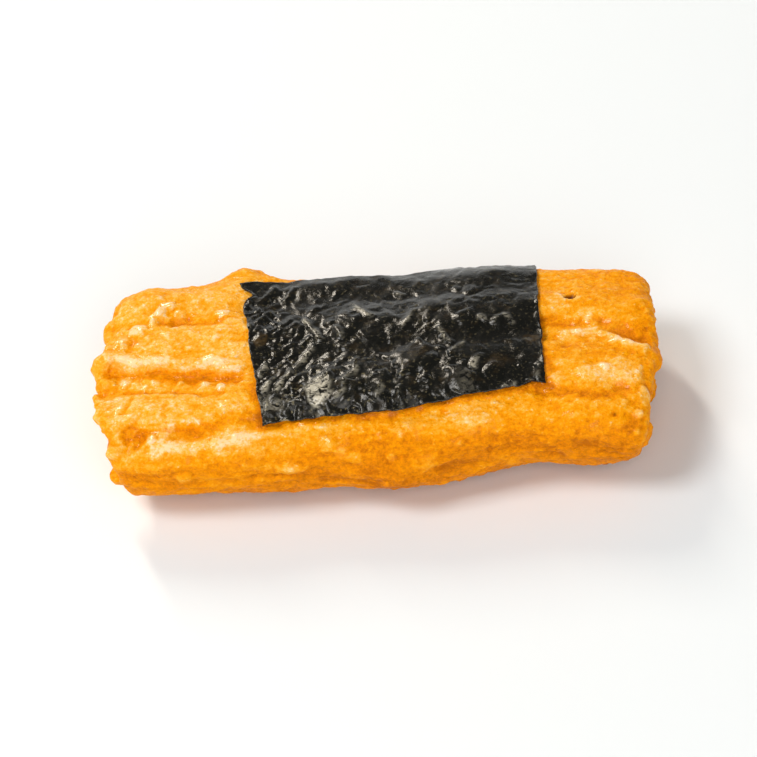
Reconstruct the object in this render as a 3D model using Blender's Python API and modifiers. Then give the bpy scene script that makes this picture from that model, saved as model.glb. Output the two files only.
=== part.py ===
"""A ridged Japanese rice cracker with a sheet of nori laid over it.

One puffed piece of rice dough, drawn out lengthwise so that round ridges run along it, and a
four-cornered sheet of nori that covers the middle of its top and bends down over both long sides.
X runs along the cracker, -Y is its front and +Z is up. It lies on the flat of its underside, z = 0.

The skin is described by two coordinates: the place along the cracker, in mm from its middle, and
the share of the girth, from 0 at the front edge over the top (0.25) and the back (0.5) to the
underside (0.75).
"""

import math

import bmesh
import bpy
import numpy as np
from mathutils import Vector, noise

MM = 0.001

# ---- the cracker, in mm ------------------------------------------------------------------------
LENGTH = 60.0
BOXINESS = 3.0  # exponent of the rounded cross-section; 2 is an ellipse
END_START = 23.5  # how far from the middle the rounding of the ends begins
END_BOXINESS = 5.5  # exponent of that rounding: the ends are blunt
LUMP_HEIGHT = 0.64  # broad unevenness of the puffed dough
LUMP_SIZE = 9.0

# The cross-section along the cracker: place along it, front edge, back edge, underside and top.
SECTIONS = (
    (-30.0, -12.3, 12.2, 0.6, 12.4),
    (-24.0, -12.6, 12.6, 0.0, 12.7),
    (-14.0, -12.6, 12.8, -0.3, 12.8),
    (-7.0, -12.1, 12.8, -0.5, 12.8),
    (3.0, -12.6, 12.7, -0.4, 12.9),
    (10.0, -11.9, 12.6, -0.1, 12.9),
    (17.0, -11.4, 12.6, 0.4, 13.0),
    (24.0, -11.7, 12.2, 0.5, 12.7),
    (30.0, -11.9, 11.5, 1.0, 12.0),
)

# The grooves between the ridges: the share of the girth each starts from at the left end and
# arrives at on the right, and its depth at the left end, in the middle and at the right end.
GROOVES = (
    (0.070, 0.135, 1.15, 0.80, 0.75),
    (0.190, 0.262, 1.70, 1.10, 1.20),
    (0.333, 0.375, 0.80, 0.80, 0.50),
    (0.475, 0.470, 0.80, 0.70, 0.90),
    (0.590, 0.575, 1.10, 0.90, 0.80),
    (0.690, 0.690, 0.70, 0.60, 0.80),
    (0.810, 0.800, 0.80, 0.70, 0.60),
    (0.925, 0.935, 0.90, 0.70, 0.90),
)
GROOVE_SWAY = 0.007  # a groove wanders by this share of the girth to either side
SWAY_TURNS = 1.1  # how often the first one does so along the cracker; the others a little more
SWAY_TURNS_MORE = 0.23
SWAY_SHIFT = 0.37
RIDGE_ROUNDNESS = 0.62  # lower makes the ridges flatter and the grooves narrower

# How far each ridge reaches at the left end and at the right end. Ridge n lies before groove n.
REACHES = (
    (-28.0, 29.5),
    (-31.2, 31.2),
    (-30.6, 30.8),
    (-28.9, 29.9),
    (-29.0, 29.2),
    (-29.8, 29.8),
    (-28.6, 29.2),
    (-24.8, 26.2),
)
GROOVE_NOTCH = 0.7  # the ends are notched where a groove runs out
END_DIMPLE = 1.3  # and dip in the middle, where the ridges meet

# Swellings on the skin: place along, share of the girth, height, half-length and half-width.
SWELLINGS = (
    (-14.0, 0.440, 2.1, 2.5, 2.0),
    (27.0, 0.020, 0.9, 3.0, 2.6),
    (2.5, 0.980, 1.5, 4.2, 2.6),
    (-20.0, 0.970, 0.5, 4.0, 2.6),
    (-21.0, 0.560, 0.9, 3.2, 2.4),
    (12.0, 0.530, 0.7, 4.0, 2.4),
)

# ---- the nori, in mm ---------------------------------------------------------------------------
# Its corners: place along the cracker, and distance around it from its front edge over the top.
NORI_FRONT_LEFT = (-11.5, 6.2)
NORI_FRONT_RIGHT = (18.4, 8.3)
NORI_BACK_LEFT = (-14.7, 26.3)
NORI_BACK_RIGHT = (17.1, 29.2)
NORI_GAP = 0.3
NORI_THICKNESS = 0.45
NORI_DIP = 0.45  # the sheet sinks only this share of the way into a groove

# ---- how finely the shapes are drawn -----------------------------------------------------------
GIRTH_POINTS = 68
MIDDLE_RINGS = 32
END_ANGLES = (12, 24, 35, 46, 56, 65, 73, 80, 86, 89)  # degrees round the edge of an end
NORI_CELLS = (27, 19)
OUTLINE_POINTS = 721
TANGENT_STEP = 0.004  # share of the girth


def through(table, place, column):
    """The value, at a place, of a smooth curve through one column of a table, by cubic steps."""
    places = np.array([row[0] for row in table])
    values = np.array([row[column] for row in table])
    slopes = np.gradient(values, places)
    i = int(np.clip(np.searchsorted(places, place) - 1, 0, len(places) - 2))
    step = places[i + 1] - places[i]
    u = min(max((place - places[i]) / step, 0.0), 1.0)
    return (
        values[i] * (2 * u**3 - 3 * u**2 + 1)
        + values[i + 1] * (3 * u**2 - 2 * u**3)
        + step * slopes[i] * (u**3 - 2 * u**2 + u)
        + step * slopes[i + 1] * (u**3 - u**2)
    )


def section(along):
    """The cross-section at a place: its middle, its girth, and its outline by share of the girth."""
    front, back, under, top = (through(SECTIONS, along, column) for column in (1, 2, 3, 4))
    middle = np.array([(front + back) / 2, (under + top) / 2])
    turn = np.linspace(0, 2 * math.pi, OUTLINE_POINTS)
    across, up = -np.cos(turn), np.sin(turn)
    wide = np.abs(across / ((back - front) / 2)) ** BOXINESS
    high = np.abs(up / ((top - under) / 2)) ** BOXINESS
    radius = (wide + high) ** (-1 / BOXINESS)
    outline = middle + np.stack([radius * across, radius * up], axis=1)
    steps = np.linalg.norm(np.diff(outline, axis=0), axis=1)
    lengths = np.concatenate([[0.0], np.cumsum(steps)])
    return middle, lengths[-1], lengths / lengths[-1], outline


def groove_shares(along):
    """Where each groove lies around the girth at this place."""
    u = along / LENGTH + 0.5
    shares = []
    for n, (left, right, *_) in enumerate(GROOVES):
        turns = u * (SWAY_TURNS + SWAY_TURNS_MORE * n) + SWAY_SHIFT * n
        shares.append(left + (right - left) * u + GROOVE_SWAY * math.sin(2 * math.pi * turns))
    return shares


def ridge_at(share, shares):
    """The ridge that a share of the girth lies on, and how far across it, from 0 to 1."""
    for n, end in enumerate(shares):
        if share < end:
            start = shares[n - 1] if n else shares[-1] - 1
            return n, (share - start) / (end - start)
    return 0, (share - shares[-1]) / (shares[0] + 1 - shares[-1])


def groove_depth(n, along):
    """How deep groove n is at a place along the cracker."""
    left, middle, right = GROOVES[n][2:]
    return through(((-LENGTH / 2, left), (0, middle), (LENGTH / 2, right)), along, 1)


def sunk_at(along, share):
    """How far the skin lies below its outline here because of the grooves on either side."""
    ridge, across = ridge_at(share, groove_shares(along))
    depth = groove_depth(ridge - 1, along) * (1 - across) + groove_depth(ridge, along) * across
    crown = math.sin(math.pi * min(max(across, 0.0), 1.0)) ** RIDGE_ROUNDNESS
    return depth * (1 - crown)


def swollen_at(along, share, girth):
    """How far the swellings lift the skin here."""
    lift = 0.0
    for at, around, height, half_length, half_width in SWELLINGS:
        off = abs(share - around)
        off = min(off, 1 - off) * girth
        lift += height * math.exp(-(((along - at) / half_length) ** 2) - (off / half_width) ** 2)
    return lift


def skin(along, share, dip=1.0, out=0.0):
    """A point (y, z) of the skin. Only the share dip of the grooves' depth is followed, and the
    point lies the distance out off the skin."""
    share %= 1.0
    _, girth, lengths, outline = section(along)

    def at(part):
        return np.array([np.interp(part % 1.0, lengths, outline[:, i]) for i in (0, 1)])

    point = at(share)
    tangent = at(share + TANGENT_STEP) - at(share - TANGENT_STEP)
    outward = np.array([-tangent[1], tangent[0]]) / np.linalg.norm(tangent)
    lumps = LUMP_HEIGHT * noise.noise(Vector((along, *point)) / LUMP_SIZE)
    lift = swollen_at(along, share, girth) + lumps - dip * sunk_at(along, share)
    return point + outward * (lift + out)


def reach(share, side):
    """How far the skin reaches at one end, side 0 left or 1 right, at this share of the girth."""
    ridge, across = ridge_at(share, groove_shares((-LENGTH / 2, LENGTH / 2)[side]))
    neighbour = (ridge + (1 if across > 0.5 else -1)) % len(REACHES)
    own, next_one = REACHES[ridge][side], REACHES[neighbour][side]
    edge = abs(across - 0.5) * 2
    blended = own + (next_one - own) * 0.5 * edge**2 * (3 - 2 * edge)
    return blended - math.copysign(GROOVE_NOTCH * edge**4, blended)


def end_ring(side, angle):
    """One ring of points around an end, from its start at 0 degrees to its middle at 90."""
    sign = (-1, 1)[side]
    start = sign * END_START
    out = math.sin(math.radians(angle)) ** (2 / END_BOXINESS)
    wide = math.cos(math.radians(angle)) ** (2 / END_BOXINESS)
    mean_reach = sum(row[side] for row in REACHES) / len(REACHES)
    dimple = sign * END_DIMPLE * (1 - wide) ** 2
    ring = []
    for k in range(GIRTH_POINTS):
        share = k / GIRTH_POINTS
        end = mean_reach + (reach(share, side) - mean_reach) * wide**1.5
        along = start + (end - start) * out - dimple
        middle = section(along)[0]
        ring.append((along, *(middle + (skin(along, share) - middle) * wide)))
    return ring


def rings():
    """Every ring of the cracker's skin, from left to right."""
    left = [end_ring(0, angle) for angle in reversed(END_ANGLES)]
    middle = [
        [(along, *skin(along, k / GIRTH_POINTS)) for k in range(GIRTH_POINTS)]
        for along in np.linspace(-END_START, END_START, MIDDLE_RINGS)
    ]
    return left + middle + [end_ring(1, angle) for angle in END_ANGLES]


def settled(point):
    """A point in metres, with whatever would reach below the floor pressed flat onto it."""
    along, across, up = point
    return Vector((along, across, max(up, 0.0))) * MM


def material(name, colour, roughness):
    made = bpy.data.materials.new(name)
    made.use_nodes = True
    shader = made.node_tree.nodes["Principled BSDF"]
    shader.inputs["Base Color"].default_value = (*colour, 1.0)
    shader.inputs["Roughness"].default_value = roughness
    shader.inputs["Metallic"].default_value = 0.0
    return made


def add_object(name, mesh, collection, look):
    made = bpy.data.objects.new(name, mesh)
    collection.objects.link(made)
    mesh.materials.append(look)
    mesh.shade_smooth()
    return made


def make_cracker(collection):
    """A loft through the ridged rings, closed at each end by a fan round its middle."""
    loft = bmesh.new()
    made = [[loft.verts.new(settled(point)) for point in ring] for ring in rings()]
    for ring, following in zip(made, made[1:]):
        for k in range(GIRTH_POINTS):
            ahead = (k + 1) % GIRTH_POINTS
            loft.faces.new((ring[k], ring[ahead], following[ahead], following[k]))
    for ring in (made[0], made[-1]):
        tip = loft.verts.new(sum((corner.co for corner in ring), Vector()) / GIRTH_POINTS)
        for k in range(GIRTH_POINTS):
            loft.faces.new((ring[k], ring[(k + 1) % GIRTH_POINTS], tip))
    bmesh.ops.recalc_face_normals(loft, faces=loft.faces)
    mesh = bpy.data.meshes.new("cracker")
    loft.to_mesh(mesh)
    loft.free()
    return add_object("cracker", mesh, collection, material("rice_dough", (0.90, 0.40, 0.04), 0.5))


def make_nori(collection):
    """A flat grid bent over the ridges, following them less closely, and thickened outwards."""
    bpy.ops.mesh.primitive_grid_add(x_subdivisions=NORI_CELLS[0], y_subdivisions=NORI_CELLS[1], size=1)
    grid = bpy.context.object
    mesh = grid.data
    front_left, front_right, back_left, back_right = (
        np.array(corner)
        for corner in (NORI_FRONT_LEFT, NORI_FRONT_RIGHT, NORI_BACK_LEFT, NORI_BACK_RIGHT)
    )
    for vertex in mesh.vertices:
        right, back = vertex.co.x + 0.5, vertex.co.y + 0.5
        front_edge = front_left * (1 - right) + front_right * right
        back_edge = back_left * (1 - right) + back_right * right
        along, around = front_edge * (1 - back) + back_edge * back
        girth = section(along)[1]
        vertex.co = settled((along, *skin(along, around / girth, NORI_DIP, NORI_GAP)))
    bpy.data.objects.remove(grid)
    nori = add_object("nori", mesh, collection, material("nori_sheet", (0.020, 0.020, 0.015), 0.4))
    thicken = nori.modifiers.new("thickness", "SOLIDIFY")
    thicken.thickness = NORI_THICKNESS * MM
    thicken.offset = 1.0
    return nori


def main():
    for old in list(bpy.data.objects):
        bpy.data.objects.remove(old)
    collection = bpy.data.collections.new("rice_cracker")
    bpy.context.scene.collection.children.link(collection)
    make_cracker(collection)
    make_nori(collection)


main()
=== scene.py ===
"""The looks of a ridged Japanese rice cracker with a sheet of nori laid over its middle.

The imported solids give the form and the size. The crust and the sheet replace them as fine meshes:
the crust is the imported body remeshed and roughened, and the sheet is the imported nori's outer face,
draped on that crust and crinkled. Lengths named here are in millimetres, but for the stage's.

A place on the crust is given as (along, around): millimetres from the middle towards the right end,
and degrees about its long axis, with 0 in front, 90 on top and 180 behind. A place on the sheet is
given as (along, across): millimetres from the middle towards the right end, and towards the back.
"""

import math
import random

import bmesh
import bpy
import numpy as np
from mathutils import Matrix, Vector, noise
from mathutils.bvhtree import BVHTree
from mathutils.kdtree import KDTree


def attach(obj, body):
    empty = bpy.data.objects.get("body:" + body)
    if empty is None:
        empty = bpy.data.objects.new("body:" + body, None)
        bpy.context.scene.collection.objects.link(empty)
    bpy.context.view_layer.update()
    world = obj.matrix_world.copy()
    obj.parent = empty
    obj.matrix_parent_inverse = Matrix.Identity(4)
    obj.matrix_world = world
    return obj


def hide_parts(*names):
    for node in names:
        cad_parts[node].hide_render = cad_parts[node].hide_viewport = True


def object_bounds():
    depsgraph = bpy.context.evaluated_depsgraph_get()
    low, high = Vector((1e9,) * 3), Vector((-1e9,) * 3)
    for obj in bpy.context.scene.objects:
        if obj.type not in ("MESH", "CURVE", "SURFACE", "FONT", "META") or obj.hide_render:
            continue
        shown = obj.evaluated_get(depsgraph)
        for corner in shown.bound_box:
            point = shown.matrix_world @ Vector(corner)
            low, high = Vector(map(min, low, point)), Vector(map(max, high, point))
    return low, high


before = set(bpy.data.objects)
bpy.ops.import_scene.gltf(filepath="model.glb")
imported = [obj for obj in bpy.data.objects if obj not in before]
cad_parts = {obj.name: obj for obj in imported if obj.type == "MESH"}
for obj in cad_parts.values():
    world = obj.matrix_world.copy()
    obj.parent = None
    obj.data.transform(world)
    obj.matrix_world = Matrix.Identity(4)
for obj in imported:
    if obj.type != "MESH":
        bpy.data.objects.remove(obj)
CAD_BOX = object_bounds()

MM = 0.001
X, Y, Z = 0, 1, 2

# ---- the crust ---------------------------------------------------------------------------------
CRUST_VOXEL = 0.25
CRUST_SUBDIVISIONS = 2
HALF_LENGTH, HALF_DEPTH = ((CAD_BOX[1][i] - CAD_BOX[0][i]) / 2 / MM for i in (X, Y))
HALF_HEIGHT = 6.6  # of the ellipse on which degrees around the crust are told, HALF_DEPTH wide
AXIS_HEIGHT = 6.3  # of that ellipse's middle
RIDGE_REACH = 46  # smoothing steps that even out the ridges
BROAD_REACH = 150  # smoothing steps that leave only the broad shape
END_ZONE = 4.0  # how far in from its ends the crust is rougher
UNDERCUT = 0.4  # how far the foot of the sides is drawn in

# How high each unevenness of the dough stands.
WAVE_HEIGHT = 0.15
LUMP_HEIGHT = 0.10
PLEAT_HEIGHT = 0.14
GRAIN_HEIGHT = 0.06
PEBBLE_HEIGHT = 0.06
FURROW_HEIGHT = 0.30  # along the sides
END_LUMP_HEIGHT = 0.17
END_GRAIN_HEIGHT = 0.09

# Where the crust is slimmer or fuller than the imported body: (place, radius, height or -depth).
TRIMS = (
    ((-28.3, 16), 6.0, -1.3),
    ((-25.0, 126), 5.0, 0.7),
    ((29.0, 10), 5.0, -0.9),
    ((29.2, 62), 2.0, -0.4),
    ((29.5, 46), 1.8, 0.5),
)

# Creases of this one cracker: (places along the line, half width, -depth).
CREASES = (
    ([(-29.6, 82), (-26, 79.5), (-22.8, 79), (-19.7, 76), (-17.3, 76), (-13.5, 72)], 0.70, -0.46),
    ([(-26.5, 70), (-25.3, 68), (-21.5, 68), (-17.7, 66), (-15.4, 66)], 0.40, -0.28),
    ([(-26, 43), (-21.5, 45), (-18.6, 45), (-15.4, 50), (-11, 49)], 0.75, -0.35),
    ([(17, 101), (20.5, 98), (23.7, 99.5), (25.7, 95), (26.8, 90), (29.6, 84)], 0.75, -0.38),
    ([(17, 60), (19.5, 57), (20.8, 57), (24, 55), (27, 57)], 0.80, -0.30),
    ([(-24, 111), (-20.1, 109), (-16, 107)], 0.50, -0.32),
    ([(-14, 11), (-10.5, 4), (-7, -2)], 0.60, -0.18),
    ([(-25.4, 67), (-25.8, 61), (-26.4, 57)], 0.30, -0.26),
)

# Its crests: (places along the line, half width, height, how pale the crust is there).
CRESTS = (
    ([(-29, 94), (-25.5, 87), (-22.8, 86), (-19.9, 82.5), (-17.3, 84.5), (-14, 79)], 0.70, 0.30, 0.25),
    ([(-24, 40), (-20.3, 35), (-16.2, 37), (-12.2, 40), (-8.5, 42), (-5, 43)], 0.65, 0.32, 0.15),
    ([(-14.5, 20), (-10, 13), (-7, 6)], 0.45, 0.24, 0.5),
    ([(19.5, 94), (23.7, 93.5), (25.7, 88.5), (26.8, 84), (29.6, 78)], 0.65, 0.46, 1.2),
    ([(22.5, 67), (25.8, 66), (28.2, 62)], 1.10, 0.25, 0.8),
    ([(-2, 18), (2, 6), (6, 12)], 1.30, 0.20, 0.0),
)

# Single swellings and hollows: (place, radius, height or -depth).
BEADS = (
    ((-26.5, 76), 0.80, 0.42),
    ((-23.3, 74), 0.50, 0.24),
    ((-20.4, 73), 0.55, 0.30),
    ((-17.8, 70), 0.70, 0.28),
    ((-16.0, 69), 0.60, 0.34),
    ((-28.4, 103), 0.50, 0.30),
    ((-27.5, 100), 0.45, 0.26),
    ((-26.7, 96), 0.55, 0.34),
    ((-23.3, 41), 0.60, 0.38),
    ((-22.9, 116), 1.00, 0.50),
    ((-21.8, 119), 0.60, 0.34),
    ((-25.2, 107), 1.10, 0.32),
    ((-23.6, 113), 0.80, 0.36),
    ((-20.9, 115), 0.70, 0.30),
    ((-16.1, 113), 0.90, 0.22),
)
DENTS = (
    ((-25.2, 43), 1.8, -0.42),
    ((-25.8, 98), 1.3, -0.28),
    ((-20.8, 112), 1.2, -0.30),
    ((-16.2, 109), 0.9, -0.22),
    ((20.4, 84), 1.1, -0.28),
    ((21.0, 117), 1.2, -0.22),
    ((27.5, 36), 1.6, -0.30),
    ((22.0, 18), 1.8, -0.22),
)
PITS = (
    ((21.0, 114.5), 0.75, -0.70),
    ((25.4, 43), 0.45, -0.35),
)

# Where it is paler, or with a minus deeper in tone: (place, radius, how much).
TONE_PATCHES = (
    ((-15.0, 88), 2.0, 0.65),
    ((-17.0, 84), 2.2, 0.65),
    ((-26.0, 84), 2.4, 0.65),
    ((-27.5, 64), 1.8, 0.65),
    ((19.6, 112), 1.8, 0.9),
    ((21.2, 113), 1.2, 0.65),
    ((25.6, 66), 2.6, 0.9),
    ((21.5, 96), 2.2, 1.0),
    ((24.5, 94), 2.0, 1.0),
    ((22.5, 100), 1.8, 0.8),
    ((-21.0, 37), 2.0, 0.65),
    ((-14.0, 40), 2.4, 0.65),
    ((10.0, 47), 2.4, 0.50),
    ((0.0, 28), 5.0, -0.70),
    ((-6.5, 20), 3.5, -0.45),
    # the lower front bulge: deeper as painted shade
    ((1.0, -6), 4.5, -1.0),
    ((-24.0, 90), 3.0, 0.30),
    ((6.0, 8), 6.0, -0.30),
    # the lower front: deeper as painted shade
    ((-4.0, -14), 7.0, -0.35),
)

# Where small blisters crowd together: (place, spread, how many).
BLISTER_CLUSTERS = (
    ((-22.5, 116), 1.0, 6),
    ((-27.2, 99), 0.8, 3),
    ((-17.0, 74), 3.0, 8),
    ((-22.0, 42), 1.6, 6),
    ((25.5, 66), 2.0, 9),
    ((27.0, 35), 2.0, 8),
    ((21.0, 108), 1.6, 4),
    ((8.0, 52), 5.0, 10),
)
LOOSE_BLISTERS = 110
LOOSE_PITS = 26
END_KNOBS = 44  # on each end face, half of them hollows

# ---- the nori ----------------------------------------------------------------------------------
SHEET_SUBDIVISIONS = 3
SHEET_THICKNESS = 0.13
SHEET_LIFT = 0.09  # least distance between the sheet and the crust below it
CAD_SHEET_LIFT = 0.75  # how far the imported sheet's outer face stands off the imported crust
FOLLOW_SHARE = 0.45  # how closely the sheet follows the crust below it
DRAPE_STEPS = 14  # smoothing steps that let it down gently
SPAN_REACH = 160  # smoothing steps over which it is stretched across the grooves
SPAN_SHARE = 0.65  # how much of a groove's depth that takes away
SPAN_MARGIN = 2.5  # how far in from its edge it is fully stretched
EDGE_REACH = 1.1  # how far in from its edge the torn edge bends the sheet
NOTCH_PLACE = (-14.5, 8.0, 12.4)  # a tear in the left edge, near the back
NOTCH_DEPTH = 2.0
NOTCH_SPREAD = 0.85

# Bubbles that lift the sheet: (along, across, radius, height).
BUBBLES = (
    (4.5, -2.7, 2.7, 0.42),
    (1.0, -6.2, 1.6, 0.34),
    (9.6, -6.0, 1.7, 0.32),
    (13.8, 1.9, 1.2, 0.18),
    (-4.2, -7.4, 2.6, 0.50),
    (12.8, -5.0, 1.3, 0.17),
    (-9.0, 3.0, 1.5, 0.22),
    (6.0, 4.5, 1.6, 0.20),
)
LOOSE_BUBBLES = 50

# Folds that stand out on the sheet: (places along the line as (along, across), half width, height).
FOLDS = (
    ([(-1.5, -2.6), (-1.7, -4.2), (-2.7, -5.3), (-2.8, -6.6), (-3.6, -7.4)], 0.42, 0.22),
    ([(-6.1, -0.4), (-7.1, -1.7), (-8.1, -2.9)], 0.42, 0.20),
    ([(-8.6, -3.5), (-9.6, -5.1), (-10.1, -6.3)], 0.40, 0.20),
    ([(-10.4, -4.3), (-10.9, -5.3), (-11.4, -6.2)], 0.38, 0.19),
    ([(-11.3, -2.2), (-11.9, -3.9)], 0.36, 0.17),
    ([(-4.4, -4.0), (-5.5, -5.0), (-6.2, -5.8)], 0.42, 0.24),
    ([(-4.2, -5.6), (-4.9, -6.8), (-5.7, -7.8)], 0.36, 0.16),
    ([(-7.3, 3.8), (-6.5, 2.6), (-5.6, 0.6)], 0.36, 0.24),
    ([(-3.9, 1.9), (-3.2, 0.9)], 0.40, 0.28),
    ([(7.2, 1.0), (7.6, 0.0), (8.3, -0.9)], 0.38, 0.28),
    ([(9.6, -1.1), (8.8, -2.1)], 0.38, 0.18),
    ([(11.1, -3.5), (10.5, -4.6)], 0.38, 0.20),
    ([(4.4, 3.8), (3.4, 1.8)], 0.50, 0.22),
    ([(-2.1, 5.8), (-1.1, 4.2), (-0.1, 3.5)], 0.36, 0.20),
    ([(2.8, -7.2), (3.1, -8.4)], 0.34, 0.20),
    ([(1.1, -6.7), (0.4, -7.8)], 0.34, 0.16),
    ([(13.0, 2.0), (13.9, 2.5), (14.9, 1.8)], 0.34, 0.14),
    ([(14.0, -6.9), (13.8, -7.8)], 0.34, 0.20),
    ([(15.0, -6.7), (14.7, -7.6)], 0.36, 0.20),
    ([(17.8, -4.6), (17.5, -5.7)], 0.36, 0.20),
    ([(11.3, 2.5), (11.9, 2.1)], 0.30, 0.20),
    ([(2.3, 7.4), (3.1, 7.1)], 0.30, 0.22),
)
LOOSE_FOLDS = 200
FOLD_ANGLE = 57  # degrees from the long axis, of the loose folds at the left end

# Where light shows the sheet as silvery: (along, across, half width, half depth, how much).
SILVER_PATCHES = (
    (-5.5, -6.6, 1.3, 2.6, 1.0),
    (-10.8, -7.6, 1.9, 1.2, 0.35),
    (-13.7, 2.6, 0.5, 1.3, 0.55),
    (9.8, -6.3, 1.1, 1.9, 0.10),
)

# Where the sheet is brown, as thin sheet and as a painted reflection of the crust: (along, across, half
# width, half depth, how much).
BROWN_PATCHES = (
    (-12.0, 0.8, 0.8, 1.0, 1.0),
    (-13.6, 0.4, 0.6, 0.9, 0.8),
    (16.8, -0.7, 1.0, 0.8, 0.9),
    (13.2, -3.6, 1.6, 1.2, 0.4),
    (5.2, -1.8, 1.8, 1.1, 0.4),
)

# ---- camera and stage, with distances in metres ------------------------------------------------
VIEW_AZIMUTH = 7.6
VIEW_ELEVATION = 47.7
VIEW_ROLL = 8.5
VIEW_DISTANCE = 0.475
LENS = 212.0
FLOOR_RADIUS = 1.0
FLOOR_BEND = 0.5  # radius of the bend by which the floor turns up into a wall
FLOOR_COLOUR = (0.83, 0.86, 0.87, 1.0)
FAR_GLOW = 0.62  # light given off by the far floor and wall, so that they stay pale from low views
GLOW_COLOUR = (1.0, 0.99, 0.98, 1.0)
GLOW_START = 0.12  # how far from the cracker the floor begins to glow
GLOW_FULL = 0.9
SKY_COLOUR = (1.0, 0.985, 0.965, 1.0)
SKY_STRENGTH = 0.20
WINDOW_COLOUR = (1.0, 0.92, 0.80)


# ---- meshes as arrays --------------------------------------------------------------------------
def read(items, what, width, kind=np.float64):
    """One property of all vertices, edges or loops of a mesh, as an array."""
    values = np.empty(len(items) * width, kind)
    items.foreach_get(what, values)
    return values.reshape(-1, width) if width > 1 else values


def points_of(mesh):
    """The vertices of a mesh, in mm."""
    return read(mesh.vertices, "co", 3) / MM


def normals_of(mesh):
    mesh.update()
    return read(mesh.vertices, "normal", 3)


def move_to(mesh, points):
    mesh.vertices.foreach_set("co", (points * MM).astype(np.float32).ravel())
    mesh.update()


def keep_values(mesh, name, values):
    """Store one number for each vertex, for the material to read."""
    layer = mesh.attributes.new(name, "FLOAT", "POINT")
    layer.data.foreach_set("value", np.asarray(values, np.float32))


class Smoother:
    """Averages values, or points, halfway with those of the neighbouring vertices, step by step."""

    def __init__(self, mesh):
        edges = read(mesh.edges, "vertices", 2, np.int32)
        self.ends = np.concatenate([edges[:, 0], edges[:, 1]])
        self.others = np.concatenate([edges[:, 1], edges[:, 0]])
        self.counts = np.maximum(np.bincount(self.ends, minlength=len(mesh.vertices)), 1)

    def once(self, values):
        size = len(self.counts)
        if values.ndim == 1:
            return np.bincount(self.ends, values[self.others], size) / self.counts
        columns = [np.bincount(self.ends, values[self.others, i], size) for i in range(values.shape[1])]
        return np.stack(columns, axis=1) / self.counts[:, None]

    def __call__(self, values, steps):
        for _ in range(steps):
            values = values + 0.5 * (self.once(values) - values)
        return values


def smooth_step(low, high, values):
    t = np.clip((values - low) / (high - low), 0, 1)
    return t * t * (3 - 2 * t)


def unit(vectors):
    return vectors / np.maximum(np.linalg.norm(vectors, axis=1), 1e-9)[:, None]


# ---- noise -------------------------------------------------------------------------------------
def rough(points, size, octaves=1, seed=0):
    """Smooth random values of about -1 to 1. The size is one length, or one for each axis."""
    scaled = points / np.broadcast_to(np.asarray(size, float), (3,)) + 17.3 * seed
    if octaves == 1:
        values = [noise.noise(p) for p in scaled]
    else:
        values = [noise.fractal(p, 1.0, 2.0, octaves) for p in scaled]
    return np.array(values) * 1.4


def creased(points, size, octaves=1, seed=0):
    """Values of 0 to 1 that rise to sharp crests."""
    return 1 - np.clip(np.abs(rough(points, size, octaves, seed)), 0, 1)


def cells(points, size, seed=0):
    """Distances to the nearest and second nearest of scattered points, in cells of this size."""
    scaled = points / np.broadcast_to(np.asarray(size, float), (3,)) + 9.1 * seed
    found = np.array([noise.voronoi(p)[0][:2] for p in scaled])
    return found[:, 0], found[:, 1]


# ---- shapes ------------------------------------------------------------------------------------
def copy_of_node(node):
    """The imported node's shape, welded, with its triangles joined back into quads."""
    shape = bmesh.new()
    shape.from_mesh(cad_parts[node].data)
    bmesh.ops.remove_doubles(shape, verts=shape.verts, dist=0.001 * MM)
    bmesh.ops.join_triangles(
        shape,
        faces=shape.faces,
        cmp_seam=False,
        cmp_sharp=False,
        cmp_uvs=False,
        cmp_vcols=False,
        cmp_materials=False,
        angle_face_threshold=math.radians(40),
        angle_shape_threshold=math.radians(70),
    )
    return shape


def new_piece(name, shape):
    mesh = bpy.data.meshes.new(name)
    shape.to_mesh(mesh)
    shape.free()
    piece = bpy.data.objects.new(name, mesh)
    bpy.context.scene.collection.objects.link(piece)
    return piece


def apply_modifiers(piece):
    graph = bpy.context.evaluated_depsgraph_get()
    made = bpy.data.meshes.new_from_object(piece.evaluated_get(graph))
    piece.modifiers.clear()
    piece.data = made
    return made


def tree_of(mesh):
    """A tree of the mesh's faces, in mm."""
    polygons = [tuple(face.vertices) for face in mesh.polygons]
    return BVHTree.FromPolygons([tuple(p) for p in points_of(mesh)], polygons)


def tree_of_points(points):
    tree = KDTree(len(points))
    for i, point in enumerate(points):
        tree.insert(point, i)
    tree.balance()
    return tree


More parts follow.
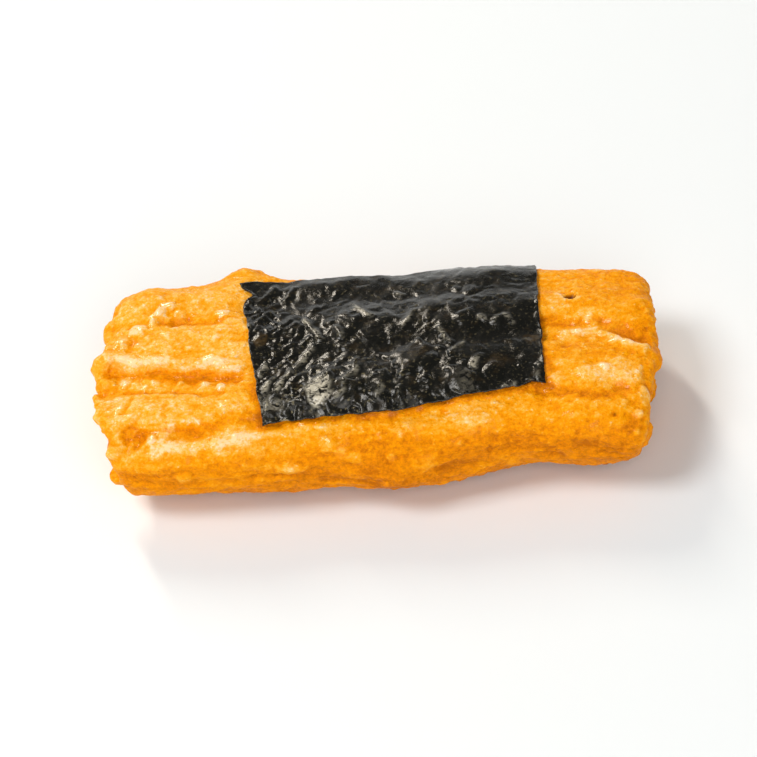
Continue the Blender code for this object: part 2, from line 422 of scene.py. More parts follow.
class Skin:
    """The crust before it is roughened, on which lines and spots are placed."""

    def __init__(self, mesh):
        self.faces = tree_of(mesh)
        self.size = len(mesh.vertices)
        self.corners = tree_of_points(points_of(mesh))

    def at(self, along, around):
        """The point of the skin at this place, or None past an end."""
        a = math.radians(around)
        outwards = Vector((0, -HALF_DEPTH * math.cos(a), HALF_HEIGHT * math.sin(a)))
        return self.faces.ray_cast(Vector((along, 0, AXIS_HEIGHT)), outwards)[0]

    def at_end(self, side, across, height):
        """The point of the end face, on the side -1 or 1, at this distance across and height."""
        return self.faces.ray_cast(Vector((0, across, height)), Vector((side, 0, 0)))[0]

    def distances(self, centres, reach):
        """How far each vertex lies from the nearest of the centres, no more than reach."""
        found = np.full(self.size, float(reach))
        for centre in centres:
            for _, i, distance in self.corners.find_range(centre, reach):
                found[i] = min(found[i], distance)
        return found

    def line(self, places, half_width, uneven):
        """1 on a line through the places, falling to 0 about two half widths away and at its ends."""
        places = np.array(places, float)
        steps = np.linspace(0, len(places) - 1, 30 * (len(places) - 1) + 1)
        path = [np.interp(steps, range(len(places)), places[:, i]) for i in (0, 1)]
        centres = [self.at(*place) for place in zip(*path)]
        inner = [c for c in centres[6:-6] if c is not None]
        distance = self.distances(inner, 3 * half_width) * (1 + 0.45 * uneven)
        return np.exp(-((distance / half_width) ** 2)) * (distance < 2.9 * half_width)

    def spots(self, spots, uneven, softness=1):
        """The height that round spots, given as (centre, radius, height), give each vertex."""
        heights = np.zeros(self.size)
        for centre, radius, height in spots:
            if centre is None:
                continue
            found = self.corners.find_range(centre, 1.4 * radius)
            indices = np.array([i for _, i, _ in found], int)
            distances = np.array([distance for _, _, distance in found])
            distances = distances / radius * (1 + 0.35 * uneven[indices])
            risen = height * np.clip(1 - distances**2, 0, 1) ** softness
            lower = np.abs(heights[indices]) < np.abs(risen)
            heights[indices[lower]] = risen[lower]
        return heights

    def placed(self, spots):
        return [(self.at(*place), radius, height) for place, radius, height in spots]


def draw_blisters(skin, draw):
    """Small blisters, crowded in their clusters and loose elsewhere."""
    blisters = []
    for (along, around), spread, count in BLISTER_CLUSTERS:
        for _ in range(count):
            aside = draw.gauss(0, 1.2 * spread)
            place = along + draw.gauss(0, spread), around + math.degrees(aside / HALF_DEPTH)
            radius = draw.uniform(0.35, 0.75)
            blisters.append((skin.at(*place), radius, draw.uniform(0.20, 0.40) * radius))
    for _ in range(LOOSE_BLISTERS):
        place = draw.uniform(-HALF_LENGTH, HALF_LENGTH), draw.uniform(-70, 250)
        radius = draw.uniform(0.35, 1.2)
        blisters.append((skin.at(*place), radius, draw.uniform(0.08, 0.22) * radius))
    return blisters


def draw_pits(skin, draw):
    pits = skin.placed(PITS)
    for _ in range(LOOSE_PITS):
        place = draw.uniform(-HALF_LENGTH, HALF_LENGTH), draw.uniform(-70, 250)
        radius = draw.uniform(0.22, 0.40)
        pits.append((skin.at(*place), radius, -draw.uniform(0.3, 0.6) * radius))
    return pits


def draw_end_knobs(skin, draw):
    """Swellings and hollows of the end faces, where the dough was cut and then puffed."""
    knobs = []
    for side in (-1, 1):
        for count in range(END_KNOBS):
            centre = skin.at_end(side, draw.uniform(-0.85, 0.85) * HALF_DEPTH, draw.uniform(1.0, 12.0))
            radius = draw.uniform(0.5, 1.8)
            sign = 1 if count % 2 else -1
            knobs.append((centre, radius, sign * draw.uniform(0.25, 0.50) * radius))
    return knobs


def dough_relief(points, side, end):
    """The height of the puffed dough's unevenness, and of the furrows of its sides by themselves."""
    waves = rough(points, (6.0, 3.2, 3.2), seed=1)
    lumps = rough(points, (2.4, 1.4, 1.4), octaves=2, seed=2)
    pleats = creased(points, (8.0, 1.3, 1.3), octaves=2, seed=3) ** 2
    pleat_zone = smooth_step(-0.2, 0.6, rough(points, (8.0, 4.0, 4.0), seed=4))
    grains = rough(points, (0.9, 0.7, 0.7), octaves=3, seed=5)
    near, far = cells(points, (1.0, 0.8, 0.8), seed=6)
    pebbles = smooth_step(0.0, 0.5, far - near)
    ridged = creased(points, (15, 2.4, 2.4), octaves=2, seed=9)
    furrows = FURROW_HEIGHT * side * (1 - end) * (ridged - 0.6)
    end_lumps = END_LUMP_HEIGHT * rough(points, 1.6, octaves=2, seed=7)
    end_grains = END_GRAIN_HEIGHT * rough(points, 0.7, seed=10)
    relief = (
        WAVE_HEIGHT * waves
        + LUMP_HEIGHT * lumps
        + PLEAT_HEIGHT * (pleats - 0.4) * pleat_zone
        + GRAIN_HEIGHT * grains
        + PEBBLE_HEIGHT * (pebbles - 0.5)
        + furrows
        + end * (end_lumps + end_grains)
    )
    return relief, furrows


def make_crust():
    """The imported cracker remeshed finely, then roughened as puffed and fried dough is."""
    crust = new_piece("crust", copy_of_node("cracker"))
    finer = crust.modifiers.new("finer", "SUBSURF")
    finer.levels = finer.render_levels = CRUST_SUBDIVISIONS
    even = crust.modifiers.new("even", "REMESH")
    even.mode = "VOXEL"
    even.voxel_size = CRUST_VOXEL * MM
    mesh = apply_modifiers(crust)
    smooth = Smoother(mesh)
    points = smooth(points_of(mesh), 3)
    move_to(mesh, points)
    normals = normals_of(mesh)
    skin = Skin(mesh)

    # How far the skin lies below its own evened shape: above 0 in a groove, below 0 on a ridge.
    evened = smooth(points, RIDGE_REACH)
    hollow = ((evened - points) * normals).sum(axis=1)
    hollow = hollow - smooth(hollow, BROAD_REACH)
    end = smooth_step(HALF_LENGTH - END_ZONE, HALF_LENGTH - 1, np.abs(points[:, X]))
    side = 1 - smooth_step(0.0, 1.0, smooth(normals, 12)[:, Z])

    uneven = rough(points, 1.2, octaves=2, seed=8)
    draw = random.Random(5)
    creases = sum(height * skin.line(line, width, uneven) for line, width, height in CREASES)
    crests = sum(height * skin.line(line, width, uneven) for line, width, height, _ in CRESTS)
    pale = sum(paleness * skin.line(line, 1.3 * width, uneven) for line, width, _, paleness in CRESTS)
    pale += skin.spots(skin.placed(TONE_PATCHES), uneven)
    beads = skin.spots(skin.placed(BEADS), uneven)
    dents = skin.spots(skin.placed(DENTS), uneven, softness=1.6)
    trims = skin.spots(skin.placed(TRIMS), 0 * uneven, softness=2)
    blisters = skin.spots(draw_blisters(skin, draw), uneven)
    pits = skin.spots(draw_pits(skin, draw), uneven)
    knobs = skin.spots(draw_end_knobs(skin, draw), uneven, softness=1.3)
    dough, furrows = dough_relief(points, side, end)
    relief = trims + creases + crests + beads + dents + blisters + pits + knobs + dough

    # The underside stays nearly flat, and the foot of the sides is drawn in above it.
    relief *= 0.15 + 0.85 * smooth_step(0.0, 0.5, points[:, Z])
    upright = smooth_step(-0.95, -0.6, smooth(normals, 4)[:, Z])
    foot = upright * (1 - smooth_step(0.1, 1.1, points[:, Z]))
    relief -= UNDERCUT * foot
    points = points + normals * relief[:, None]
    points[:, Z] = np.maximum(points[:, Z], 0.0)
    move_to(mesh, points)

    fine_hollow = smooth(relief, 8) - relief
    # Masks for the material: the grooves, small hollows, sides, lower part, foot and right end are
    # painted darker there as shade.
    keep_values(mesh, "groove", smooth_step(0.02, 0.40, hollow - creases - dents - furrows))
    keep_values(mesh, "crest", smooth_step(0.0, 0.35, crests + 0.6 * beads - hollow))
    keep_values(mesh, "pale", np.minimum(pale, 1.3))
    keep_values(mesh, "small_hollow_shade", smooth_step(-0.05, 0.07, fine_hollow) * (1 - 0.5 * end * side))
    keep_values(mesh, "speck", smooth_step(0.14, 0.42, -pits))
    keep_values(mesh, "blister", smooth_step(0.04, 0.20, blisters + beads))
    keep_values(mesh, "end", end)
    keep_values(mesh, "side", side)
    keep_values(mesh, "foot", foot)
    keep_values(mesh, "low", 1 - smooth_step(0.0, 3.2, points[:, Z]))
    keep_values(mesh, "right", (points[:, X] / HALF_LENGTH + 1) / 2)
    mesh.shade_smooth()
    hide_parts("cracker")
    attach(crust, "root")
    return crust


def outer_face(shape, crust_tree):
    """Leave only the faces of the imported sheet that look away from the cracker."""
    shape.normal_update()
    inner = []
    for face in shape.faces:
        centre = face.calc_center_median() / MM
        nearest = crust_tree.find_nearest(centre)[0]
        if face.normal.dot((nearest - centre).normalized()) > -0.5:
            inner.append(face)
    bmesh.ops.delete(shape, geom=inner, context="FACES")
    return shape


def torn_edge(mesh, points, normals, smooth):
    """How far each vertex moves in the sheet's plane to make its edge ragged, and how far in it lies."""
    faces_at = np.zeros(len(mesh.edges), int)
    np.add.at(faces_at, read(mesh.loops, "edge_index", 1, np.int32), 1)
    rim = read(mesh.edges, "vertices", 2, np.int32)[faces_at == 1]
    rim_points = np.unique(rim)
    inwards = smooth.once(points) - points
    inwards -= normals * (inwards * normals).sum(axis=1)[:, None]
    inwards = unit(inwards[rim_points])
    places = points[rim_points]
    ragged = 0.16 * rough(places, 1.7, seed=31) + 0.10 * rough(places, 0.55, seed=32) + 0.10
    away = np.linalg.norm(places - np.array(NOTCH_PLACE), axis=1)
    ragged += NOTCH_DEPTH * np.exp(-((away / NOTCH_SPREAD) ** 2))
    tree = tree_of_points(places)
    nearest = [tree.find(point)[1:] for point in points]
    index = np.array([i for i, _ in nearest])
    distance = np.array([d for _, d in nearest])
    shift = inwards[index] * (ragged[index] * np.exp(-distance / EDGE_REACH))[:, None]
    return smooth(shift, 3), distance


def sheet_bubbles(points, bubbles):
    """How high bubbles, given as (along, across, radius, height), lift the sheet."""
    lift = np.zeros(len(points))
    uneven = 1 + 0.55 * rough(points, 1.3, seed=30)
    for along, across, radius, height in bubbles:
        away = np.hypot(points[:, X] - along, points[:, Y] - across) / radius * uneven
        lift = np.maximum(lift, height * np.clip(1 - away**2, 0, 1) ** 0.75)
    return lift


def draw_bubbles():
    draw = random.Random(11)
    return [
        (draw.uniform(-15, 19), draw.uniform(-10, 8), draw.uniform(0.6, 1.6), draw.uniform(0.04, 0.14))
        for _ in range(LOOSE_BUBBLES)
    ]


def away_from(points, places):
    """How far each point lies, seen from above, from a line through the places."""
    found = np.full(len(points), np.inf)
    for start, end in zip(places, places[1:]):
        step = np.subtract(end, start)
        aside = points[:, :2] - start
        share = np.clip(aside @ step / (step @ step), 0, 1)
        found = np.minimum(found, np.linalg.norm(aside - share[:, None] * step, axis=1))
    return found


def sheet_folds(points, folds):
    """How high folds, given as (places, half width, height), lift the sheet."""
    lift = np.zeros(len(points))
    ragged = 1 + 0.5 * rough(points, 0.8, seed=38)
    for places, half_width, height in folds:
        away = away_from(points, places) / half_width * ragged
        lift = np.maximum(lift, height * np.exp(-(away**2)))
    return lift


def away_from_folds(points):
    return np.min([away_from(points, places) for places, _, _ in FOLDS], axis=0)


def draw_folds():
    """Short folds: slanted and crowded at the left, few and loose at the right."""
    draw = random.Random(12)
    folds = []
    for _ in range(LOOSE_FOLDS):
        along = -17 + 36 * draw.random() ** 2.5
        across = draw.uniform(-11, 9)
        crowded = min(max((3 - along) / 12, 0), 1)
        angle = math.radians(FOLD_ANGLE + draw.gauss(0, 12 + 60 * (1 - crowded)))
        half_length = draw.uniform(0.3, 0.8 + 0.8 * crowded)
        reach = half_length * math.cos(angle), half_length * math.sin(angle)
        places = [(along - reach[0], across - reach[1]), (along + reach[0], across + reach[1])]
        half_width = draw.uniform(0.22, 0.42)
        height = half_width * draw.uniform(0.35, 0.75) * (0.25 + 0.75 * crowded)
        folds.append((places, half_width, height))
    return folds


def sheet_patches(points, patches):
    """How much ragged patches, given as in SILVER_PATCHES, show at each point."""
    shown = np.zeros(len(points))
    ragged = 0.40 * rough(points, 1.2, octaves=2, seed=35)
    for along, across, half_width, half_depth, amount in patches:
        away = np.hypot((points[:, X] - along) / half_width, (points[:, Y] - across) / half_depth)
        shown = np.maximum(shown, amount * (1 - smooth_step(0.5, 1.1, away + ragged)))
    return shown


def let_down(points, normals, edge_distance, crust_tree, smooth):
    """Where the sheet's points come to lie when it rests on the crust, stretched across its grooves."""
    # How high the crust lies at each point, from the point along the sheet's normal.
    ray_start, ray_reach = 2, 6
    floor = np.full(len(points), -CAD_SHEET_LIFT)
    for i, (point, normal) in enumerate(zip(points, normals)):
        start = Vector(point + normal * ray_start)
        distance = crust_tree.ray_cast(start, Vector(-normal), ray_reach)[3]
        if distance is not None:
            floor[i] = ray_start - distance
    resting = SHEET_LIFT - CAD_SHEET_LIFT
    height = np.maximum(FOLLOW_SHARE * floor + (1 - FOLLOW_SHARE) * resting, floor) + SHEET_LIFT
    for _ in range(DRAPE_STEPS):
        height = np.maximum(smooth(height, 2), floor + SHEET_LIFT)
    height = smooth(height, DRAPE_STEPS)
    lying = points + normals * height[:, None]
    valley = np.maximum(((smooth(lying, SPAN_REACH) - lying) * normals).sum(axis=1), 0)
    valley *= smooth_step(0.0, SPAN_MARGIN, edge_distance)
    return lying + normals * (SPAN_SHARE * smooth(valley, 6))[:, None]


def wrinkle(mesh, points, normals, edge_distance, smooth):
    """Raise the sheet's bubbles, folds and crinkles, and note where its look changes and where highlights
    are painted.
    """
    edge = np.exp(-edge_distance / 0.8)
    drift = np.stack([rough(points, 1.3, seed=s) for s in (22, 23, 24)], axis=1)
    warped = points + 0.45 * drift
    crinkles = creased(warped, 1.7, seed=29) - creased(warped, 1.5, seed=26)
    fine = creased(warped, 0.8, seed=33) - creased(warped, 0.7, seed=34)
    slope = -0.055 * points[:, X] - 0.05 * points[:, Y]
    left = smooth_step(0.0, 1.0, slope + 0.5 * rough(points, 4.0, seed=27))
    domes = sheet_bubbles(points, BUBBLES)
    painted_glint = sheet_patches(points, SILVER_PATCHES)
    folded = points + 0.20 * drift
    away = away_from_folds(folded) * (1 + 0.5 * rough(points, 0.8, seed=38))

    # The named folds stand out in calmer surroundings, and a bubble's skin is stretched smooth.
    calm = 1 - 0.7 * np.exp(-((away / 0.75) ** 2))
    stretched = (1 - painted_glint) * smooth_step(0.05, 0.30, domes)
    strength = (0.30 + 0.70 * left) * (1 - 0.7 * stretched) + 0.4 * painted_glint
    relief = np.maximum(domes, sheet_bubbles(points, draw_bubbles()))
    relief += np.maximum(sheet_folds(folded, FOLDS), calm * sheet_folds(folded, draw_folds()))
    relief += calm * strength * (0.20 * crinkles + 0.08 * fine)
    relief += 0.10 * edge * (1 + rough(points, 2.2, seed=28))
    move_to(mesh, points + normals * relief[:, None])

    # Pale lines along the named folds' crests: painted highlights.
    crests = np.exp(-((away / 0.22) ** 2)) * np.clip(0.35 + 0.6 * rough(points, 1.2, seed=37), 0, 0.7)
    keep_values(mesh, "crinkle", smooth_step(0.0, 0.15, relief - smooth(relief, 12)))
    keep_values(mesh, "edge", edge)
    # Painted sheen on the left front of the sheet, where it catches the light.
    keep_values(mesh, "painted_sheen", left * smooth_step(-2.0, 6.0, -points[:, Y]))
    keep_values(mesh, "painted_glint", np.maximum(painted_glint, crests))
    keep_values(mesh, "brown", sheet_patches(points, BROWN_PATCHES))


def make_sheet(crust):
    """The nori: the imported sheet's outer face, let down on the crust, wrinkled and made thin."""
    crust_tree = tree_of(crust.data)
    sheet = new_piece("nori_sheet", outer_face(copy_of_node("nori"), crust_tree))
    finer = sheet.modifiers.new("finer", "SUBSURF")
    finer.levels = finer.render_levels = SHEET_SUBDIVISIONS
    finer.boundary_smooth = "PRESERVE_CORNERS"
    mesh = apply_modifiers(sheet)
    smooth = Smoother(mesh)
    points = points_of(mesh)
    normals = unit(smooth(normals_of(mesh), 30))
    shift, edge_distance = torn_edge(mesh, points, normals, smooth)
    points = let_down(points + shift, normals, edge_distance, crust_tree, smooth)
    wrinkle(mesh, points, normals, edge_distance, smooth)
    thicken = sheet.modifiers.new("thickness", "SOLIDIFY")
    thicken.thickness = SHEET_THICKNESS * MM
    thicken.offset = 1.0
    apply_modifiers(sheet)
    sheet.data.shade_smooth()
    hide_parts("nori")
    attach(sheet, "root")
    return sheet


def mark_sheet_edge_shadow(crust, sheet):
    """Note on the crust how near it is to the sheet's front edge, where the sheet's edge casts a painted
    shadow.
    """
    edge = read(sheet.data.attributes["edge"].data, "value", 1, np.float32)
    tree = tree_of_points(points_of(sheet.data)[edge > 0.95])
    points = points_of(crust.data)
    distance = np.array([tree.find(point)[2] for point in points])
    distance *= 1 + 0.4 * rough(points, 1.1, seed=36)
    in_front = smooth_step(0.0, 4.0, -points[:, Y])
    keep_values(crust.data, "sheet_edge_shadow", (1 - smooth_step(0.3, 1.1, distance)) * in_front)


# ---- materials ---------------------------------------------------------------------------------
def linear(red, green, blue):
    """A colour given as 0 to 255 on a screen, as the shader's linear values."""
    channels = [c / 255 for c in (red, green, blue)]
    return [c / 12.92 if c <= 0.04045 else ((c + 0.055) / 1.055) ** 2.4 for c in channels] + [1.0]


class Nodes:
    """Adds and joins the shader nodes of one material."""

    def __init__(self, name):
        self.material = bpy.data.materials.new(name)
        self.material.use_nodes = True
        self.tree = self.material.node_tree
        self.shader = self.tree.nodes["Principled BSDF"]

    def link(self, value, socket):
        if isinstance(value, bpy.types.NodeSocket):
            self.tree.links.new(value, socket)
        else:
            socket.default_value = value

    def add(self, kind, inputs=(), **settings):
        node = self.tree.nodes.new("ShaderNode" + kind)
        for name, value in settings.items():
            setattr(node, name, value)
        for name, value in dict(inputs).items():
            self.link(value, node.inputs[name])
        return node

    def attribute(self, name):
        return self.add("Attribute", attribute_name=name).outputs["Fac"]

    def place(self, scale):
        """Object coordinates in millimetres, times a scale for each axis."""
        position = self.add("TexCoord").outputs["Object"]
        factor = [s / MM for s in scale]
        return self.add("VectorMath", {0: position, 1: factor}, operation="MULTIPLY").outputs[0]

    def noise(self, scale, detail=2.0, roughness=0.5, distortion=0.0):
        inputs = {"Vector": self.place(scale), "Scale": 1.0, "Detail": detail,
                  "Roughness": roughness, "Distortion": distortion}
        return self.add("TexNoise", inputs).outputs["Fac"]

    def cells(self, scale, smoothness):
        inputs = {"Vector": self.place(scale), "Scale": 1.0, "Smoothness": smoothness}
        return self.add("TexVoronoi", inputs, feature="SMOOTH_F1").outputs["Distance"]

    def math(self, operation, a, b=0.0, clamp=False):
        node = self.add("Math", operation=operation, use_clamp=clamp)
        self.link(a, node.inputs[0])
        self.link(b, node.inputs[1])
        return node.outputs[0]

    def times(self, a, b):
        return self.math("MULTIPLY", a, b)

    def total(self, start, *terms):
        """A number plus each (value, weight)."""
        for value, weight in terms:
            start = self.add("Math", {0: value, 1: weight, 2: start}, operation="MULTIPLY_ADD").outputs[0]
        return start

    def ramp(self, value, *stops):
        node = self.add("ValToRGB", {"Fac": value})
        elements = node.color_ramp.elements
        while len(elements) < len(stops):
            elements.new(0.5)
        for element, (place, colour) in zip(elements, stops):
            element.position = place
            element.color = colour
        return node.outputs["Color"]

    def span(self, value, low, high, to_low=0.0, to_high=1.0):
        inputs = {"Value": value, "From Min": low, "From Max": high, "To Min": to_low, "To Max": to_high}
        return self.add("MapRange", inputs).outputs["Result"]

    def mix(self, factor, a, b):
        """Colour a turning into colour b. The numbers are the node's sockets for colours."""
        node = self.add("Mix", data_type="RGBA")
        self.link(factor, node.inputs["Factor"])
        self.link(a, node.inputs[6])
        self.link(b, node.inputs[7])
        return node.outputs[2]

    def bump(self, height, distance, strength=1.0, under=None):
        inputs = {"Height": height, "Distance": distance * MM, "Strength": strength}
        if under is not None:
            inputs["Normal"] = under
        return self.add("Bump", inputs).outputs["Normal"]


def crust_material():
    """Golden orange fried dough: pale on the crests, deep in the grooves where glaze gathered and shade
    is painted in; the sides, small hollows, foot, lower part, right end and the strip under the sheet's
    edge are painted darker as shade.
    """
    n = Nodes("cracker_crust")
    groove, crest, pale, small_hollow_shade = (n.attribute(name) for name in ("groove", "crest", "pale", "small_hollow_shade"))
    speck, blister, sheet_edge_shadow = (n.attribute(name) for name in ("speck", "blister", "sheet_edge_shadow"))
    side, end, low, foot, right = (n.attribute(name) for name in ("side", "end", "low", "foot", "right"))
    streaks = n.span(n.noise((0.10, 0.7, 0.7), detail=3.0, roughness=0.55), 0.3, 0.7, -1, 1)
    patches = n.span(n.noise((0.22, 0.30, 0.30), detail=2.0), 0.3, 0.7, -1, 1)
    mottle = n.span(n.noise((0.55, 0.75, 0.75), detail=2.0), 0.3, 0.7, -1, 1)
    grain = n.span(n.noise((1.3, 1.6, 1.6), detail=3.0, roughness=0.6), 0.25, 0.75, -1, 1)
    sand = n.span(n.noise((2.3, 2.7, 2.7), detail=2.0, roughness=0.6), 0.28, 0.72, -1, 1)
    fine = n.span(n.noise((4.2, 4.8, 4.8), detail=2.0, roughness=0.6), 0.25, 0.75, -1, 1)
    crumbs = n.span(n.cells((1.7, 2.0, 2.0), 0.2), 0.36, 0.12)
    crumbs = n.times(crumbs, n.span(grain, -0.4, 0.5))
    cut = n.times(end, side)
    calm = n.total(1.0, (cut, -0.5))

    # How deep in tone the crust is: each thing that shows on it, and how much it adds. Some terms are
    # toasting, others painted shade, as noted.
    toast_and_shade = n.total(
        0.27,
        # the grooves: deeper where glaze gathered, and painted shade
        (groove, 0.37),
        (crest, -0.14),
        (pale, -0.27),
        (crumbs, -0.28),
        # small hollows: painted shade
        (small_hollow_shade, 0.24),
        (end, 0.12),
        (cut, -0.40),
        # the sides: painted shade, as they get less light than the top
        (side, 0.44),
        # the lower part, near the floor: painted shade
        (low, 0.36),
        # towards the right end: painted shade
        (right, 0.25),
        # under the sheet's front edge: painted shadow
        (sheet_edge_shadow, 0.55),
        # blisters: paler, partly as a painted highlight
        (blister, -0.24),
        (streaks, 0.10),
        (n.times(streaks, side), 0.06),
        (patches, 0.10),
        (n.times(mottle, calm), 0.09),
        (n.times(grain, calm), -0.13),
        (n.times(sand, calm), -0.19),
        (n.times(fine, calm), -0.16),
    )
    colour = n.ramp(
        n.times(toast_and_shade, 0.75),
        (0.0, linear(251, 211, 156)),
        (0.12, linear(250, 193, 106)),
        (0.27, linear(247, 173, 52)),
        (0.45, linear(243, 154, 3)),
        (0.62, linear(234, 139, 2)),
        (0.80, linear(215, 123, 4)),
        (1.0, linear(190, 103, 4)),
    )
    # Painted contact shadow: the foot of the sides is painted dark brown.
    colour = n.mix(n.times(foot, 0.7), colour, linear(110, 56, 8))
    colour = n.mix(speck, colour, linear(112, 54, 8))
    n.link(colour, n.shader.inputs["Base Color"])

    gloss = n.noise((0.5, 0.6, 0.6), detail=3.0)
    n.link(n.span(gloss, 0.35, 0.65, 0.38, 0.60), n.shader.inputs["Roughness"])
    n.shader.inputs["Specular IOR Level"].default_value = 0.06
    n.shader.inputs["Specular Tint"].default_value = (1.0, 0.8, 0.45, 1.0)
    n.shader.inputs["Subsurface Weight"].default_value = 0.12
    n.shader.inputs["Subsurface Radius"].default_value = (1.0, 0.45, 0.12)
    n.shader.inputs["Subsurface Scale"].default_value = 0.7 * MM
    shine = n.total(0.0, (blister, 0.9), (pale, 0.3), (crumbs, 0.5), (n.span(gloss, 0.5, 0.65), 0.25))
    glaze = n.math("MULTIPLY", shine, n.math("SUBTRACT", 1.0, side), clamp=True)
    n.link(glaze, n.shader.inputs["Coat Weight"])
    n.shader.inputs["Coat Roughness"].default_value = 0.14
    coarse = n.bump(n.total(grain, (crumbs, 1.0)), 0.10, 0.6)
    n.link(n.bump(fine, 0.035, 0.6, coarse), n.shader.inputs["Normal"])
    return n.material


def nori_material():
    """Dark pressed seaweed: blackish green, brown between the fibres, half-glossy, with highlights
    painted on its wrinkles, specks and silvery patches.
    """
    n = Nodes("nori_sheet")
    fibres = n.noise((1.6, 2.4, 2.4), detail=5.0, roughness=0.65, distortion=0.8)
    blotches = n.noise((0.45, 0.45, 0.45), detail=2.0)
    flecks = n.noise((2.3, 2.6, 2.6), detail=3.0, roughness=0.6)
    stains = n.noise((0.8, 0.9, 0.9), detail=3.0, roughness=0.6)
    crinkle, painted_sheen, painted_glint, brown = (n.attribute(name) for name in ("crinkle", "painted_sheen", "painted_glint", "brown"))
    shade = n.total(
        0.0,
        (n.span(fibres, 0.3, 0.7), 0.28),
        (n.span(blotches, 0.35, 0.7), 0.10),
        # raised wrinkles are painted lighter, most on the left front, as highlights
        (crinkle, 0.12),
        (n.times(crinkle, painted_sheen), 0.75),
        # the left front: painted sheen
        (painted_sheen, 0.15),
        (n.attribute("edge"), 0.1),
    )
    colour = n.ramp(
        shade,
        (0.0, linear(5, 6, 4)),
        (0.4, linear(9, 10, 7)),
        (0.75, linear(28, 27, 19)),
        (1.0, linear(134, 124, 98)),
    )
    # Stains, and brown patches: thin sheet and a painted reflection of the crust.
    stained = n.total(0.0, (n.span(stains, 0.56, 0.68), 0.30), (brown, 0.9))
    colour = n.mix(n.times(stained, n.span(fibres, 0.3, 0.6)), colour, linear(64, 48, 22))
    # Pale specks, most on the left front: painted highlights.
    painted_specks = n.times(n.span(flecks, 0.58, 0.70), n.total(0.30, (painted_sheen, 0.65)))
    colour = n.mix(painted_specks, colour, linear(116, 106, 78))
    # Silvery patches and fold crests: painted highlights.
    colour = n.mix(n.times(painted_glint, n.span(fibres, 0.42, 0.56)), colour, linear(188, 180, 160))
    n.link(colour, n.shader.inputs["Base Color"])

    roughness = n.total(0.14, (n.span(fibres, 0.3, 0.7), 0.14), (n.span(blotches, 0.35, 0.65), 0.14))
    n.link(roughness, n.shader.inputs["Roughness"])
    n.shader.inputs["Specular IOR Level"].default_value = 0.15
    n.shader.inputs["Specular Tint"].default_value = (1.0, 0.88, 0.70, 1.0)
    n.shader.inputs["Coat Weight"].default_value = 0.5
    n.shader.inputs["Coat Roughness"].default_value = 0.12
    grain = n.noise((6.0, 7.0, 7.0), detail=2.0, roughness=0.6)
    rippled = n.bump(grain, 0.035, 0.45, n.bump(n.total(fibres, (flecks, 0.5)), 0.08, 0.30))
    n.link(rippled, n.shader.inputs["Normal"])
    n.link(rippled, n.shader.inputs["Coat Normal"])
    return n.material


# ---- stage -------------------------------------------------------------------------------------
def make_floor():
    """A pale round floor that turns up far out, so that its edge never shows."""
    profile = [(0.0, 0.0), (FLOOR_RADIUS / 2, 0.0), (FLOOR_RADIUS, 0.0)]
    for a in np.linspace(0.15, 1.5, 12):
        profile.append((FLOOR_RADIUS + FLOOR_BEND * math.sin(a), FLOOR_BEND * (1 - math.cos(a))))
    shape = bmesh.new()
    corners = [shape.verts.new((r, 0, h)) for r, h in profile]
    edges = [shape.edges.new(pair) for pair in zip(corners, corners[1:])]
    bmesh.ops.spin(shape, geom=corners + edges, cent=(0, 0, 0), axis=(0, 0, 1),
                   angle=2 * math.pi, steps=96, use_merge=True)
    bmesh.ops.remove_doubles(shape, verts=shape.verts, dist=0.01 * MM)
    bmesh.ops.recalc_face_normals(shape, faces=shape.faces)
    if sum(face.normal.z for face in shape.faces) < 0:
        bmesh.ops.reverse_faces(shape, faces=shape.faces)
    floor = new_piece("floor", shape)
    floor.data.shade_smooth()
    n = Nodes("floor")
    n.shader.inputs["Base Color"].default_value = FLOOR_COLOUR
    n.shader.inputs["Roughness"].default_value = 0.6
    place = n.add("TexCoord").outputs["Object"]
    distance = n.add("VectorMath", {0: place}, operation="LENGTH").outputs["Value"]
    n.shader.inputs["Emission Color"].default_value = GLOW_COLOUR
    glow = n.span(distance, GLOW_START, GLOW_FULL, 0.0, FAR_GLOW)
    n.link(glow, n.shader.inputs["Emission Strength"])
    floor.data.materials.append(n.material)


def seen_at(azimuth, elevation):
    """The direction out from the cracker. Azimuth 0 is in front of it, 90 to its right."""
    a, e = math.radians(azimuth), math.radians(elevation)
    return Vector((math.sin(a) * math.cos(e), -math.cos(a) * math.cos(e), math.sin(e)))


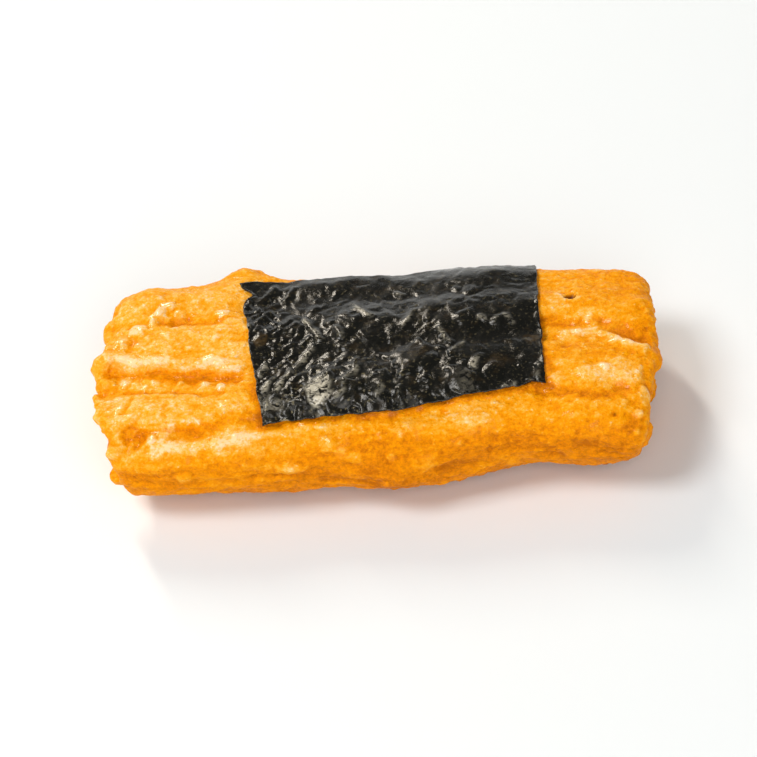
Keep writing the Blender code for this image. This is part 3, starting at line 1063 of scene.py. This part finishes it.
def add_area_light(name, azimuth, elevation, distance, width, height, power, colour=(1, 1, 1)):
    """A soft light that looks at the cracker."""
    lamp = bpy.data.lights.new(name, "AREA")
    lamp.shape = "RECTANGLE"
    lamp.size = width
    lamp.size_y = height
    lamp.energy = power
    lamp.color = colour
    light = bpy.data.objects.new(name, lamp)
    back = seen_at(azimuth, elevation)
    light.location = back * distance
    light.rotation_euler = (-back).to_track_quat("-Z", "Y").to_euler()
    bpy.context.scene.collection.objects.link(light)


def make_lights():
    add_area_light("key", azimuth=-70, elevation=60, distance=0.7, width=0.26, height=0.26, power=2.6)
    add_area_light("window", azimuth=-152, elevation=38, distance=0.8, width=0.07, height=0.30, power=2.6,
                   colour=WINDOW_COLOUR)
    add_area_light("fill", azimuth=15, elevation=40, distance=0.9, width=0.6, height=0.6, power=3.3)
    world = bpy.data.worlds.new("studio")
    world.use_nodes = True
    sky = world.node_tree.nodes["Background"]
    sky.inputs["Color"].default_value = SKY_COLOUR
    sky.inputs["Strength"].default_value = SKY_STRENGTH
    bpy.context.scene.world = world


def make_camera():
    camera = bpy.data.objects.new("camera", bpy.data.cameras.new("camera"))
    bpy.context.scene.collection.objects.link(camera)
    bpy.context.scene.camera = camera
    camera.data.lens = LENS
    camera.data.sensor_width = 36.0
    camera.data.clip_start = 0.01
    camera.data.clip_end = 10.0
    back = seen_at(VIEW_AZIMUTH, VIEW_ELEVATION)
    middle = (CAD_BOX[0] + CAD_BOX[1]) / 2
    aim = (-back).to_track_quat("-Z", "Y").to_matrix()
    roll = Matrix.Rotation(math.radians(-VIEW_ROLL), 3, "Z")
    camera.location = middle + back * VIEW_DISTANCE
    camera.rotation_euler = (aim @ roll).to_euler()


# ---- the whole ---------------------------------------------------------------------------------
def dress(piece, material):
    piece.data.materials.clear()
    piece.data.materials.append(material)


crust = make_crust()
sheet = make_sheet(crust)
mark_sheet_edge_shadow(crust, sheet)
dress(crust, crust_material())
dress(sheet, nori_material())
make_floor()
make_lights()
make_camera()
bpy.context.scene.view_settings.view_transform = "Standard"
